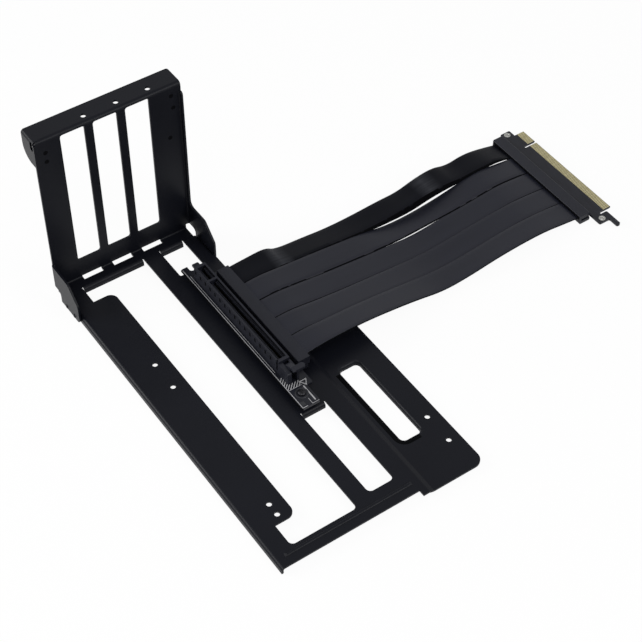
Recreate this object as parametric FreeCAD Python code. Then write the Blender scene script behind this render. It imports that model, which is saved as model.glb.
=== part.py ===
import FreeCAD, Part
import math
import os

# Vertical card bracket: folded steel frame, riser board with a card slot, ribbon cable and plug.
# Millimetres. X runs along the base away from the upright, Y across it, Z up.
# While it is built, X = 0 is the upright's inner face, Y = 0 the middle of the middle window
# and Z = 0 the surface that the base stands on. At the end the origin moves to the middle of the
# frame's footprint.
V = FreeCAD.Vector

# Sheet
sheet = 1.2
bend = 1.0
rivet_head = 0.5
rivet_r = 1.3
slip = 0.1

# Card windows and upright
card_pitch = 20.32
card_count = 3
window_width = 15.1
window_low = 18.7
window_high = 115.4
window_r = 1.6
upright_top = 117.6
upright_left = -44.0
upright_right = 48.6
top_depth = 14.4
top_corner_r = 1.5
card_hole_r = 1.6
card_hole_x = -5.4
ear_drop = 18.2
ear_r = 9.0
ear_relief_width = 3.2
ear_relief_height = 6.0
side_depth = 2.2
side_top = 111.5
side_r = 2.0

# Gussets
gusset_front = 28.8
gusset_top = 24.0
gusset_chamfer = 10.5
gusset_r = 4.0
gusset_blend_r = 4.0
gusset_left_face = -45.0
relief_length = 8.4
relief_high = 7.6
rivet_first = 13.5
rivet_step = 9.0
rivet_count = 2
rivet_height = 1.5
tab_length = 20.0

# Base
base_rise = 4.6
base_length = 237.7
joggle = 1.2
joggle_start = 47.9
joggle_run = 3.0
joggle_r = 2.0
plate_length = 131.5
plate_overhang = 3.8
plate_right = 85.2
plate_overhang_left = 44.1
plate_r = 6.0
tongue_slot_length = 13.0
tongue_slot_front = 2.8
tongue_slot_rise = 0.7
lip_drop = 4.0
lip_relief = 2.4
lip_inset = 0.8
back_face = 9.6
window1_left = -31.6
window1_right = 10.4
window1_margin = 9.4
strip_right = -18.2
strip_back = 21.9
strip_margin = 24.6
strip_r = 5.0
corner_r = 3.0
board_window_left = 21.1
board_window_right = 37.9
board_window_step = 32.8
board_window_inset = 3.3
board_window_r = 1.0
board_window_margin = 26.8
window2_gap = 0.2
window2_margin = 13.8
window2_left = 21.0
window2_right = 37.6
window3_length = 61.0
window3_margin = 32.3
window3_left = 57.0
window3_right = 70.2
window3_r = 3.0
bead_margin = 6.2
bead_start = -37.8
bead_end = 43.3
bead_width = 2.4
bead_height = 0.7
base_hole_r = 1.6
left_hole_y = -26.6
left_hole_first = 83.4
left_hole_step = 19.6
left_pair_margin = 29.9
left_pair_step = 7.7
right_hole_y = 78.2
right_hole_margin = 18.8
right_hole_step = 19.4

# Riser board
board_thick = 1.6
board_gap = 3.6
board_back = 32.9
board_length = 127.9
board_left = 21.6
board_end_width = 11.8
board_mid_width = 21.0
board_mid_inset = 13.1
board_mid_margin = 24.5
board_shoulder_width = 15.8
board_shoulder_margin = 13.2
board_corner_r = 1.0
board_notch_r = 1.7
board_notch_depth = 2.7
spacer_across = 5.0
screw_r = 1.3
screw_clear = 0.1
screw_head_r = 2.4
screw_head = 1.3
spacer_margin = 9.8
spacer_y = 27.6
spacer_side_y = 38.4
spacer_back_inset = 20.5
spacer_front_inset = 6.3

# Card slot
slot_inset = 10.6
slot_width = 7.5
slot_height = 9.7
slot_wall_end = 2.0
slot_short = 11.65
slot_key = 1.5
slot_long = 71.65
slot_gap = 1.9
slot_depth = 8.8
mouth_side = 1.7
mouth_depth = 2.0
slot_y = 28.35
contact_pitch = 1.0
contact_short_count = 11
contact_long_count = 71
contact_width = 0.5
contact_thick = 0.45
contact_top = 2.6
pocket_count = 16
pocket_pitch = 5.27
pocket_first = 1.3
pocket_width = 1.1
pocket_depth = 0.7
pocket_drop = 2.2
pocket_height = 2.4

# Latch
tower_length = 9.6
tower_height = 8.4
tower_r = 1.5
cheek_near = 2.6
cheek_far = 1.4
groove_width = 1.4
groove_depth = 0.9
latch_clear = 0.15
pivot_x = 4.4
pivot_z = 3.0
pivot_r = 1.2
pivot_gap = 0.06
latch_foot = 0.5
latch_stem = 3.2
latch_neck = 6.2
latch_r = 0.7
hook_reach = 1.6
hook_height = 7.2
thumb_height = 9.8
thumb_start = 3.5
thumb_length = 3.6
thumb_thick = 1.6
thumb_side = 5.0
thumb_r = 1.75

# Ribbon cable: five flat strips side by side
ribbon_count = 5
ribbon_width = 15.9
ribbon_pitch = 16.3
ribbon_thick = 1.0
ribbon_inset = 1.5
ribbon_shift = -4.6
ribbon_rise = 14.2
ribbon_span = 204.4
ribbon_lead = 11.0
ribbon_ease = 0.45
clamp_length = 85.2
clamp_inset = 6.3
clamp_gap = 3.9
clamp_end = 44.0
clamp_cover = 0.5
clamp_edge = 0.6

# Plug
plug_rise = 3.0
plug_cover_depth = 8.0
plug_cover_height = 6.2
plug_cover_margin = 2.2
plug_cover_edge = 0.8
plug_seat = 1.0
plug_board_depth = 15.1
plug_tail_left = 3.2
plug_tail_right = 8.9
plug_tail_start = 7.5
plug_edge_shift = 1.7
edge_short = 11.15
edge_notch = 1.9
edge_long = 71.15
edge_depth = 7.6
edge_chamfer = 0.5
eyelet_r = 1.8
eyelet_bore_r = 1.1
eyelet_left = 0.6
eyelet_right = 6.3
eyelet_drop = 3.8
eyelet_proud = 0.2
hook_bar_width = 2.8
hook_bar_length = 7.1

# Routes of the strips: distance from the clamp, height of the strip's middle above the surface
edge_route = ((0, ribbon_rise), (13, ribbon_rise), (25, 13.6), (35, 9.8), (51, 7.9), (70, 6.3),
              (90, 4.9), (109, 5.0), (124, 6.8), (138, 9.4), (152, 9.6), (163, 7.8), (177, 8.3),
              (ribbon_span - ribbon_lead, plug_rise), (ribbon_span, plug_rise))
middle_route = ((0, ribbon_rise), (18, ribbon_rise), (38, 12.3), (62, 8.7), (84, 4.9), (104, 2.3),
                (124, 2.0), (146, 3.9), (166, 5.0),
                (ribbon_span - ribbon_lead * 2, plug_rise), (ribbon_span, plug_rise))
near_route = ((0, ribbon_rise), (18, ribbon_rise), (38, 13.7), (59, 11.4), (79, 8.0), (99, 4.4),
              (119, 3.9), (139, 5.9), (159, 7.0), (178, 5.2),
              (ribbon_span - ribbon_lead, plug_rise), (ribbon_span, plug_rise))
routes = (edge_route, middle_route, middle_route, middle_route, near_route)

# Sizes that follow from those above
middle = bend + sheet / 2
top_mid = upright_top - sheet / 2
base_mid = base_rise - sheet / 2
plate_top = base_rise - joggle
plate_mid = plate_top - sheet / 2
plate_end = base_length + plate_overhang
plate_start = plate_end - plate_length
window1_end = base_length - window1_margin
strip_front = base_length - strip_margin
window2_end = base_length - window2_margin
window3_end = base_length - window3_margin
window3_back = window3_end - window3_length
bead_x = base_length - bead_margin
left_pair_last = base_length - left_pair_margin
right_hole_last = base_length - right_hole_margin
gusset_right_face = upright_right
base_left = gusset_left_face + sheet + slip
base_right = gusset_right_face - sheet - slip
bend_reach = bend + sheet
board_low = base_rise + board_gap
board_high = board_low + board_thick
board_end = board_back + board_length
board_mid_start = board_back + board_mid_inset
board_mid_end = board_end - board_mid_margin
board_shoulder_end = board_end - board_shoulder_margin
board_window_end = board_end - board_window_margin
window2_back = board_end + window2_gap
slot_start = board_back + slot_inset
slot_length = 2 * slot_wall_end + slot_short + slot_key + slot_long
slot_end = slot_start + slot_length
slot_top = board_high + slot_height
slot_near = slot_y - slot_width / 2
slot_far = slot_y + slot_width / 2
latch_half = (slot_width - cheek_near - cheek_far) / 2 - latch_clear
latch_y = slot_near + cheek_near + latch_clear + latch_half
window_edge = window_width / 2
spacer_places = ((board_end - spacer_margin, spacer_y), (slot_start + spacer_back_inset, spacer_side_y),
                 (slot_end - spacer_front_inset, spacer_side_y))
clamp_start = slot_start + clamp_inset
ribbon_first = clamp_start + ribbon_inset
past = 3.0

PLAN = (V(0, 0, 0), V(1, 0, 0), V(0, 1, 0))
SIDE = (V(0, 0, 0), V(1, 0, 0), V(0, 0, 1))
SECTION = (V(0, 0, 0), V(0, 1, 0), V(0, 0, 1))
ALONG_X = V(1, 0, 0)
ALONG_Y = V(0, 1, 0)
ALONG_Z = V(0, 0, 1)


def at(frame, point):
    origin, first, second = frame
    return origin + first * point.x + second * point.y


def flat(point):
    return V(point[0], point[1], 0)


def rounding(before, corner, after, radius):
    """Start, middle, end and centre of the arc that rounds a corner."""
    back = (before - corner).normalize()
    fore = (after - corner).normalize()
    half = back.getAngle(fore) / 2
    reach = radius / math.tan(half)
    inward = (back + fore).normalize()
    centre = corner + inward * (radius / math.sin(half))
    return corner + back * reach, centre - inward * radius, corner + fore * reach, centre


def line(frame, start, end):
    return Part.LineSegment(at(frame, start), at(frame, end)).toShape()


def arc(frame, start, mid, end):
    return Part.Arc(at(frame, start), at(frame, mid), at(frame, end)).toShape()


def outline(frame, points, radii):
    """A closed outline; radii is one radius for all corners or one for each."""
    corners = [flat(point) for point in points]
    count = len(corners)
    if not isinstance(radii, (tuple, list)):
        radii = [radii] * count
    turns = []
    for index, corner in enumerate(corners):
        if radii[index] > 0:
            turns.append(rounding(corners[index - 1], corner, corners[(index + 1) % count], radii[index]))
        else:
            turns.append((corner, None, corner, None))
    edges = []
    for index, turn in enumerate(turns):
        if turn[1] is not None:
            edges.append(arc(frame, turn[0], turn[1], turn[2]))
        following = turns[(index + 1) % count][0]
        if turn[2].distanceToPoint(following) > 1e-7:
            edges.append(line(frame, turn[2], following))
    return Part.Face(Part.Wire(edges))


def prism(frame, points, radii, along, low, high):
    face = outline(frame, points, radii)
    face.translate(along * low)
    return face.extrude(along * (high - low))


def strip_face(frame, points, radii, thickness):
    """The section of a sheet of even thickness that follows an open path with rounded corners."""
    path = [flat(point) for point in points]
    headings = [(b - a).normalize() for a, b in zip(path, path[1:])]
    turns = [rounding(path[i], path[i + 1], path[i + 2], radii[i]) for i in range(len(path) - 2)]
    sides = []
    for side in (1, -1):
        offsets = [V(-d.y, d.x, 0) * (side * thickness / 2) for d in headings]
        here = path[0] + offsets[0]
        edges = []
        for index, (start, mid, end, centre) in enumerate(turns):
            outward = (mid - centre).normalize()
            leave = start + offsets[index]
            enter = end + offsets[index + 1]
            edges.append(line(frame, here, leave))
            edges.append(arc(frame, leave, centre + outward * (leave - centre).Length, enter))
            here = enter
        last = path[-1] + offsets[-1]
        edges.append(line(frame, here, last))
        sides.append((path[0] + offsets[0], edges, last))
    caps = [line(frame, sides[0][0], sides[1][0]), line(frame, sides[0][2], sides[1][2])]
    return Part.Face(Part.Wire(Part.__sortEdges__(sides[0][1] + sides[1][1] + caps)))


def folded(frame, points, along, low, high, radii=None):
    """A folded sheet: a path of flats joined by bends, carried along the third axis."""
    radii = radii or [middle] * (len(points) - 2)
    face = strip_face(frame, points, radii, sheet)
    face.translate(along * low)
    return face.extrude(along * (high - low))


def box(x0, x1, y0, y1, z0, z1):
    return Part.makeBox(x1 - x0, y1 - y0, z1 - z0, V(x0, y0, z0))


def rod(x, y, z, radius, length, along):
    return Part.makeCylinder(radius, length, V(x, y, z), along)


def rectangle(a0, a1, b0, b1):
    return ((a0, b0), (a1, b0), (a1, b1), (a0, b1))


def card_centres():
    first = -card_pitch * (card_count - 1) / 2
    return [first + card_pitch * index for index in range(card_count)]


def upright_and_flanges():
    """Upright with its top flange, ear, right flange, gussets and the bend into the base."""
    inner_left = gusset_left_face + bend_reach + slip
    leg = folded(SIDE, ((-top_depth, top_mid), (-sheet / 2, top_mid), (-sheet / 2, base_mid),
                        (relief_length + bend_reach, base_mid)),
                 ALONG_Y, inner_left, base_right - bend_reach)
    left_edge = box(-sheet, 0, upright_left, inner_left + slip, relief_high, upright_top - bend_reach)
    right_top = folded(SIDE, ((-top_depth, top_mid), (-sheet / 2, top_mid), (-sheet / 2, window_low)),
                       ALONG_Y, base_right - bend_reach - slip, upright_right)
    corner = box(-sheet, past, upright_right - bend_reach, upright_right + past, 0, side_top)
    right_top = right_top.cut(corner)
    ear_y = upright_left + sheet / 2
    ear = folded(SECTION, ((inner_left + bend_reach, top_mid), (ear_y, top_mid),
                           (ear_y, upright_top - ear_drop)),
                 ALONG_X, -top_depth, -sheet)
    ear = ear.common(prism(SIDE, rectangle(-top_depth, past, upright_top - ear_drop, upright_top),
                           (ear_r, 0, 0, 0), ALONG_Y, upright_left - past, 0))
    left_y = gusset_left_face + sheet / 2
    left = folded(PLAN, ((-sheet / 2, left_y + bend_reach * 2), (-sheet / 2, left_y),
                         (gusset_front, left_y)), ALONG_Z, 0, gusset_top)
    slope = ((gusset_front, gusset_top - gusset_chamfer), (gusset_front - gusset_chamfer, gusset_top))
    left_shape = prism(SIDE, ((-past, 0), (gusset_front, 0)) + slope + ((-past, gusset_top),),
                       (0, corner_r, gusset_r, gusset_r, 0), ALONG_Y, gusset_left_face - past, 0)
    right_y = gusset_right_face - sheet / 2
    right = folded(PLAN, ((-sheet / 2, right_y - bend_reach * 2), (-sheet / 2, right_y),
                          (gusset_front, right_y)), ALONG_Z, 0, side_top)
    right_shape = prism(SIDE, ((-past, 0), (gusset_front, 0)) + slope +
                        ((side_depth, gusset_top), (side_depth, side_top), (-past, side_top)),
                        (0, corner_r, gusset_r, gusset_r, gusset_blend_r, side_r, 0),
                        ALONG_Y, 0, gusset_right_face + past)
    relief = []
    corners = ((gusset_left_face - past, inner_left), (base_right - bend_reach, gusset_right_face + past))
    for low, high in corners:
        relief.append(prism(SIDE, rectangle(-sheet - past, relief_length - sheet, -past, relief_high),
                            (0, 0, corner_r - slip, 0), ALONG_Y, low, high))
    sides = left.common(left_shape).fuse(right.common(right_shape)).cut(relief)
    return leg.multiFuse([left_edge, right_top, ear, sides])


def base_sheet():
    """Base with its left edge folded down and its right-hand plate joggled down."""
    left_y = base_left + sheet / 2
    section = folded(SECTION, ((left_y, 0), (left_y, base_mid), (joggle_start, base_mid),
                               (joggle_start + joggle_run, plate_mid), (plate_right, plate_mid)),
                     ALONG_X, bend_reach, plate_end, (middle, joggle_r, joggle_r))
    plan = prism(PLAN, ((relief_length, base_left), (base_length, base_left),
                        (base_length, plate_overhang_left), (plate_end, plate_overhang_left),
                        (plate_end, plate_right), (plate_start, plate_right), (plate_start, base_right),
                        (relief_length, base_right)),
                 (0, 0, 0, 0, plate_r, plate_r, corner_r, 0), ALONG_Z, -past, base_rise + past)
    right_y = base_right - sheet / 2
    tab = folded(SECTION, ((board_window_right + bend, base_mid), (right_y, base_mid), (right_y, 0)),
                 ALONG_X, relief_length, relief_length + tab_length)
    edge = box(relief_length, relief_length + tab_length, base_right - bend_reach, base_right,
               -past, base_rise + past)
    return section.common(plan).cut(edge).fuse(tab)


def lip(face, low, high):
    """A window's back edge folded down."""
    return folded(SIDE, ((face - lip_relief - sheet, base_mid), (face - sheet / 2, base_mid),
                         (face - sheet / 2, base_rise - lip_drop)), ALONG_Y, low, high)


def window_cuts():
    """Cutters for the windows, slots and holes of the sheet."""
    low = -past
    high = base_rise + past
    cuts = []
    for centre in card_centres():
        window = rectangle(centre - window_edge, centre + window_edge, window_low, window_high)
        cuts.append(prism(SECTION, window, window_r, ALONG_X, -sheet - past, past))
        cuts.append(box(-sheet - past, tongue_slot_front, centre - tongue_slot_length / 2,
                        centre + tongue_slot_length / 2, low, base_rise + tongue_slot_rise))
        cuts.append(rod(card_hole_x, centre + card_pitch / 2, upright_top - past, card_hole_r, past * 2,
                        ALONG_Z))
    back = back_face - lip_relief
    cuts.append(prism(PLAN, ((back, window1_left), (strip_back, window1_left), (strip_back, strip_right),
                             (strip_front, strip_right), (strip_front, window1_left),
                             (window1_end, window1_left), (window1_end, window1_right),
                             (back, window1_right)),
                      (0, 0, strip_r, strip_r, 0, corner_r, corner_r, 0), ALONG_Z, low, high))
    inset = board_window_left + board_window_inset
    outset = slot_y * 2 - inset
    cuts.append(prism(PLAN, ((back, board_window_left), (board_window_step, board_window_left),
                             (board_window_step, inset), (board_window_end, inset),
                             (board_window_end, outset), (board_window_step, outset),
                             (board_window_step, board_window_right), (back, board_window_right)),
                      [0] + [board_window_r] * 2 + [corner_r] * 2 + [board_window_r] + [corner_r, 0],
                      ALONG_Z, low, high))
    cuts.append(prism(PLAN, rectangle(window2_back - lip_relief, window2_end, window2_left, window2_right),
                      (0, corner_r, corner_r, 0), ALONG_Z, low, high))
    left_holes = (left_hole_first, left_hole_first + left_hole_step,
                  left_pair_last - left_pair_step, left_pair_last)
    right_holes = (right_hole_last - right_hole_step, right_hole_last)
    for places, y in ((left_holes, left_hole_y), (right_holes, right_hole_y)):
        for x in places:
            cuts.append(rod(x, y, low, base_hole_r, high - low, ALONG_Z))
    for x, y in spacer_places:
        cuts.append(rod(x, y, low, screw_r + screw_clear, high - low, ALONG_Z))
    relief_top = upright_top - bend
    cuts.append(prism(SIDE, rectangle(-sheet - ear_relief_width, -sheet, relief_top - ear_relief_height,
                                      relief_top), ear_relief_width / 2 - slip,
                      ALONG_Y, upright_left - past, upright_left + sheet + slip))
    corner = box(-top_depth, -top_depth + top_corner_r, upright_right - top_corner_r, upright_right,
                 upright_top - past, upright_top + past)
    cuts.append(corner.cut(rod(-top_depth + top_corner_r, upright_right - top_corner_r, upright_top - past,
                               top_corner_r, past * 2, ALONG_Z)))
    return cuts


def rolled_opening():
    """The hole in the plate that the rolled rim fills."""
    return prism(PLAN, rectangle(window3_back - bend_reach, window3_end + bend_reach,
                                 window3_left - bend_reach, window3_right + bend_reach),
                 window3_r + bend_reach, ALONG_Z, -past, base_rise + past)


def rolled_rim():
    """The right-hand window's edge, rolled down all round: each corner is a turned section."""
    section = [(window3_r + distance, height) for distance, height in
               ((bend_reach + sheet, plate_mid), (sheet / 2, plate_mid), (sheet / 2, 0))]
    near_x = window3_back + window3_r
    far_x = window3_end - window3_r
    near_y = window3_left + window3_r
    far_y = window3_right - window3_r
    centres = [V(far_x, far_y, 0), V(near_x, far_y, 0), V(near_x, near_y, 0), V(far_x, near_y, 0)]
    headings = [V(1, 0, 0), V(0, 1, 0), V(-1, 0, 0), V(0, -1, 0)]
    rim = []
    for index, centre in enumerate(centres):
        following = (index + 1) % len(centres)
        corner = strip_face((centre, headings[index], ALONG_Z), section, [middle], sheet)
        rim.append(corner.revolve(centre, ALONG_Z, 90))
        side = strip_face((centre, headings[following], ALONG_Z), section, [middle], sheet)
        rim.append(side.extrude(centres[following] - centre))
    return rim


def bead():
    """The raised stiffening bead across the free end."""
    half = bead_width / 2
    radius = (half ** 2 + bead_height ** 2) / (2 * bead_height)
    centre = base_rise + bead_height - radius
    ridge = rod(bead_x, bead_start, centre, radius, bead_end - bead_start, ALONG_Y)
    top = base_rise + bead_height
    above = prism(SECTION, ((bead_start, base_mid), (bead_end, base_mid), (bead_end, base_rise),
                            (bead_end - half, top), (bead_start + half, top), (bead_start, base_rise)), 0,
                  ALONG_X, bead_x - half, bead_x + half)
    return ridge.common(above)


def bracket_frame():
    frame = upright_and_flanges().fuse(base_sheet())
    frame = frame.cut(window_cuts())
    lips = [lip(back_face, window1_left + lip_inset, window1_right - lip_inset),
            lip(back_face, board_window_left + lip_inset, board_window_right - lip_inset),
            lip(window2_back, window2_left + lip_inset, window2_right - lip_inset)]
    frame = frame.cut(rolled_opening()).multiFuse(lips + rolled_rim() + [bead()])
    return frame.removeSplitter()


def gusset_rivets():
    """Rivets through each gusset and the base's folded edge behind it, pressed flush inside."""
    rivets = []
    for face, inward in ((gusset_left_face, 1), (gusset_right_face, -1)):
        along = V(0, inward, 0)
        for index in range(rivet_count):
            x = rivet_first + rivet_step * index
            head = rod(x, face - inward * rivet_head, rivet_height, rivet_r, rivet_head, along)
            shank = rod(x, face, rivet_height, rivet_r / 2, sheet * 2 + slip, along)
            rivets.append(head.fuse(shank))
    return rivets


def rivet_holes():
    holes = []
    for face, inward in ((gusset_left_face, 1), (gusset_right_face, -1)):
        for index in range(rivet_count):
            holes.append(rod(rivet_first + rivet_step * index, face - inward, rivet_height, rivet_r / 2,
                             sheet * 2 + past, V(0, inward, 0)))
    return holes


def riser_board():
    right = board_left + board_end_width
    wide = board_left + board_mid_width
    shoulder = board_left + board_shoulder_width
    board = prism(PLAN, ((board_back, board_left), (board_end, board_left), (board_end, right),
                         (board_shoulder_end, right), (board_shoulder_end, shoulder),
                         (board_mid_end, shoulder), (board_mid_end, wide), (board_mid_start, wide),
                         (board_mid_start, right), (board_back, right)), board_corner_r,
                  ALONG_Z, board_low, board_high)
    notch_y = board_left + board_end_width / 2
    notch_end = board_back + board_notch_depth
    notch = box(board_back - past, notch_end, notch_y - board_notch_r, notch_y + board_notch_r,
                board_low - past, board_high + past)
    round_end = rod(notch_end, notch_y, board_low - past, board_notch_r, board_thick + past * 2, ALONG_Z)
    x, y = spacer_places[0]
    hole = rod(x, y, board_low - past, screw_r + screw_clear / 2, board_thick + past * 2, ALONG_Z)
    return board.cut([notch, round_end, hole])


def board_spacers():
    """Hexagonal threaded spacers soldered under the board, standing on the base."""
    spacers = []
    reach = spacer_across / math.sqrt(3)
    turns = [math.radians(60 * index) for index in range(6)]
    for x, y in spacer_places:
        corners = [(x + reach * math.cos(turn), y + reach * math.sin(turn)) for turn in turns]
        hexagon = prism(PLAN, corners, 0, ALONG_Z, base_rise, board_low)
        bore = rod(x, y, base_rise - past, screw_r + screw_clear / 2, board_gap + past * 2, ALONG_Z)
        spacers.append(hexagon.cut(bore))
    return spacers


def board_screws():
    """Screws that hold the board's spacers from under the base."""
    screws = []
    under = base_rise - sheet
    for x, y in spacer_places:
        head = rod(x, y, under - screw_head, screw_head_r, screw_head, ALONG_Z)
        shank = rod(x, y, under, screw_r, sheet + board_gap, ALONG_Z)
        screws.append(head.fuse(shank))
    return screws


def cavities():
    """Start and end of the short and the long part of the slot."""
    short_start = slot_start + slot_wall_end
    long_start = short_start + slot_short + slot_key
    return (short_start, short_start + slot_short), (long_start, long_start + slot_long)


def slot_housing():
    body = box(slot_start, slot_end, slot_near, slot_far, board_high, slot_top)
    tower = prism(SIDE, rectangle(slot_end - slot_wall_end, slot_end + tower_length, board_high,
                                  board_high + tower_height), (0, 0, tower_r, 0),
                  ALONG_Y, slot_near, slot_far)
    body = body.fuse(tower)
    cuts = [box(slot_end, slot_end + tower_length + past, slot_near + cheek_near, slot_far - cheek_far,
                board_high - past, slot_top + past)]
    cuts.append(box(slot_end - slot_wall_end, slot_end - slot_wall_end + groove_width, slot_near - past,
                    slot_near + groove_depth, board_high + slot_wall_end, slot_top + past))
    cuts.append(rod(slot_end + pivot_x, slot_near - past, board_high + pivot_z, pivot_r + pivot_gap,
                    slot_width + past * 2, ALONG_Y))
    row = slot_gap / 2 + contact_thick
    for start, end in cavities():
        cuts.append(box(start, end, slot_y - slot_gap / 2, slot_y + slot_gap / 2, slot_top - slot_depth,
                        slot_top + past))
        cuts.append(box(start, end, slot_y - slot_gap / 2 - mouth_side, slot_y + slot_gap / 2 + mouth_side,
                        slot_top - mouth_depth, slot_top + past))
        cuts.append(box(start, end, slot_y - row, slot_y + row, slot_top - slot_depth,
                        slot_top - contact_top))
    pocket_top = slot_top - pocket_drop
    for index in range(pocket_count):
        x = slot_start + pocket_first + pocket_pitch * index
        cuts.append(box(x, x + pocket_width, slot_near - past, slot_near + pocket_depth,
                        pocket_top - pocket_height, pocket_top))
    return body.cut(cuts)


def slot_contacts():
    """Spring contacts: upright blades against the cavity's walls."""
    contacts = []
    for (start, end), count in zip(cavities(), (contact_short_count, contact_long_count)):
        margin = ((end - start) - contact_pitch * (count - 1) - contact_width) / 2
        for index in range(count):
            x = start + margin + contact_pitch * index
            for wall in (slot_y - slot_gap / 2 - contact_thick, slot_y + slot_gap / 2):
                contacts.append(box(x, x + contact_width, wall, wall + contact_thick, slot_top - slot_depth,
                                    slot_top - contact_top))
    return contacts


def slot_latch():
    """Retention latch: stem between the tower's cheeks, hook towards the card, thumb tab, stub pivots."""
    axis_x = slot_end + pivot_x
    left = axis_x - latch_stem / 2
    right = axis_x + latch_stem / 2
    foot = board_high + latch_foot
    hook = board_high + hook_height
    low = board_high + thumb_height
    high = low + thumb_thick
    back = axis_x + thumb_start
    tip = back + thumb_length
    stem = prism(SIDE, ((left, foot), (right, foot), (right, board_high + latch_neck), (back, low),
                        (tip, low), (tip, high), (back, high), (left, hook + hook_reach),
                        (left - hook_reach, hook), (left, hook - hook_reach)),
                 [latch_r] * 8 + [0] * 2, ALONG_Y, latch_y - latch_half, latch_y + latch_half)
    thumb = prism(PLAN, rectangle(back, tip, latch_y, latch_y + latch_half + thumb_side),
                  (0, 0, thumb_r, thumb_r), ALONG_Z, low, high)
    pivots = rod(axis_x, slot_near + latch_clear, board_high + pivot_z, pivot_r,
                 slot_width - latch_clear * 2, ALONG_Y)
    return stem.multiFuse([thumb, pivots]).removeSplitter()


def cable_clamp():
    """Moulded bar on the board in which the ribbon strips end."""
    back = slot_far + clamp_gap
    top = ribbon_rise + ribbon_thick / 2 + clamp_cover
    return prism(SECTION, ((back, board_high), (clamp_end, board_high), (clamp_end, top), (back, top)),
                 (0, 0, 0, clamp_edge), ALONG_X, clamp_start, clamp_start + clamp_length)


def ribbon_frame(index):
    heading = V(ribbon_shift, math.sqrt(ribbon_span ** 2 - ribbon_shift ** 2), 0).normalize()
    return V(ribbon_first + ribbon_pitch * index, clamp_end, 0), heading, V(0, 0, 1)


def ribbon_strip(index):
    """One flat strip: straight runs joined by tangent arcs, carried across the strip's width."""
    route = routes[index]
    points = [V(a, b, 0) for a, b in route]
    radii = []
    length = 0
    for before, corner, after in zip(points, points[1:], points[2:]):
        turn = (corner - before).getAngle(after - corner)
        shorter = min((corner - before).Length, (after - corner).Length)
        radii.append(ribbon_ease * shorter / math.tan(turn / 2))
        length += radii[-1] * (turn - 2 * math.tan(turn / 2))
    length += sum((b - a).Length for a, b in zip(points, points[1:]))
    face = strip_face(ribbon_frame(index), route, radii, ribbon_thick)
    strip = face.extrude(ALONG_X * ribbon_width)
    heading = ribbon_frame(index)[1]
    expected = ribbon_thick * ribbon_width * length * heading.y
    print("ribbon strip", index + 1, "length", round(length, 1), "smallest radius", round(min(radii), 1),
          "volume over section times length", round(strip.Volume / expected, 4))
    return strip


def plug_places():
    """Where the cable's far end meets the plug, and the card edge's start."""
    heading = ribbon_frame(0)[1]
    back = clamp_end + heading.y * ribbon_span
    start = ribbon_first + heading.x * ribbon_span
    width = ribbon_pitch * (ribbon_count - 1) + ribbon_width
    edge_start = start + width / 2 + plug_edge_shift - (edge_short + edge_notch + edge_long) / 2
    return back, start - plug_cover_margin, start + width + plug_cover_margin, edge_start


def plug_board():
    back, cover_start, cover_end, edge_start = plug_places()
    low = plug_rise - board_thick / 2
    high = plug_rise + board_thick / 2
    rear = back + plug_seat
    tail = rear + plug_tail_start
    shoulder = rear + plug_board_depth
    front = shoulder + edge_depth
    start = cover_start - plug_tail_left
    end = cover_end + plug_tail_right
    edge_end = edge_start + edge_short + edge_notch + edge_long
    leg = edge_end + edge_notch
    hook_end = end + hook_bar_length
    hook_top = shoulder + hook_bar_width
    inner_start = cover_start + plug_seat
    inner_end = cover_end - plug_seat
    board = prism(PLAN, ((inner_start, rear), (inner_end, rear), (inner_end, tail), (end, tail),
                         (end, shoulder), (hook_end, shoulder), (hook_end, hook_top), (leg, hook_top),
                         (leg, shoulder), (start, shoulder), (start, tail), (inner_start, tail)),
                  [0] * 3 + [board_corner_r] * 5 + [0] + [board_corner_r] * 2 + [0],
                  ALONG_Z, low, high)
    edges = []
    for left, right in ((edge_start, edge_start + edge_short), (edge_end - edge_long, edge_end)):
        edges.append(prism(SECTION, ((shoulder - past, low), (front - edge_chamfer, low),
                                     (front, low + edge_chamfer), (front, high - edge_chamfer),
                                     (front - edge_chamfer, high), (shoulder - past, high)), 0,
                           ALONG_X, left, right))
    notch = box(edge_start + edge_short, edge_end - edge_long, shoulder - eyelet_r, front + past,
                low - past, high + past)
    gap = box(edge_end, leg, shoulder - eyelet_r, front, low - past, high + past)
    holes = [rod(x, y, low - past, eyelet_r, board_thick + past * 2, ALONG_Z) for x, y in eyelet_places()]
    return board.multiFuse(edges).cut([notch, gap] + holes).removeSplitter()


def eyelet_places():
    back, cover_start, cover_end = plug_places()[:3]
    y = back + plug_seat + plug_board_depth - eyelet_drop
    return ((cover_start - eyelet_left, y), (cover_end + eyelet_right, y))


def plug_eyelets():
    """Plated sleeves that stand a little proud of the plug board on both sides."""
    eyelets = []
    low = plug_rise - board_thick / 2 - eyelet_proud
    for x, y in eyelet_places():
        sleeve = rod(x, y, low, eyelet_r, board_thick + eyelet_proud * 2, ALONG_Z)
        bore = rod(x, y, low - past, eyelet_bore_r, board_thick + past * 2, ALONG_Z)
        eyelets.append(sleeve.cut(bore))
    return eyelets


def plug_cover(top):
    """One half of the plug's cover, with the pocket that the plug board lies in."""
    back, start, end = plug_places()[:3]
    front = back + plug_cover_depth
    low = plug_rise if top else 0
    high = plug_cover_height if top else plug_rise
    edge = plug_cover_edge
    radii = (0, 0, edge, edge) if top else (edge, edge, 0, 0)
    half = prism(SECTION, rectangle(back, front, low, high), radii, ALONG_X, start, end)
    pocket = box(start - past, end + past, back + plug_seat, front + past, plug_rise - board_thick / 2,
                 plug_rise + board_thick / 2)
    return half.cut(pocket)


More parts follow.
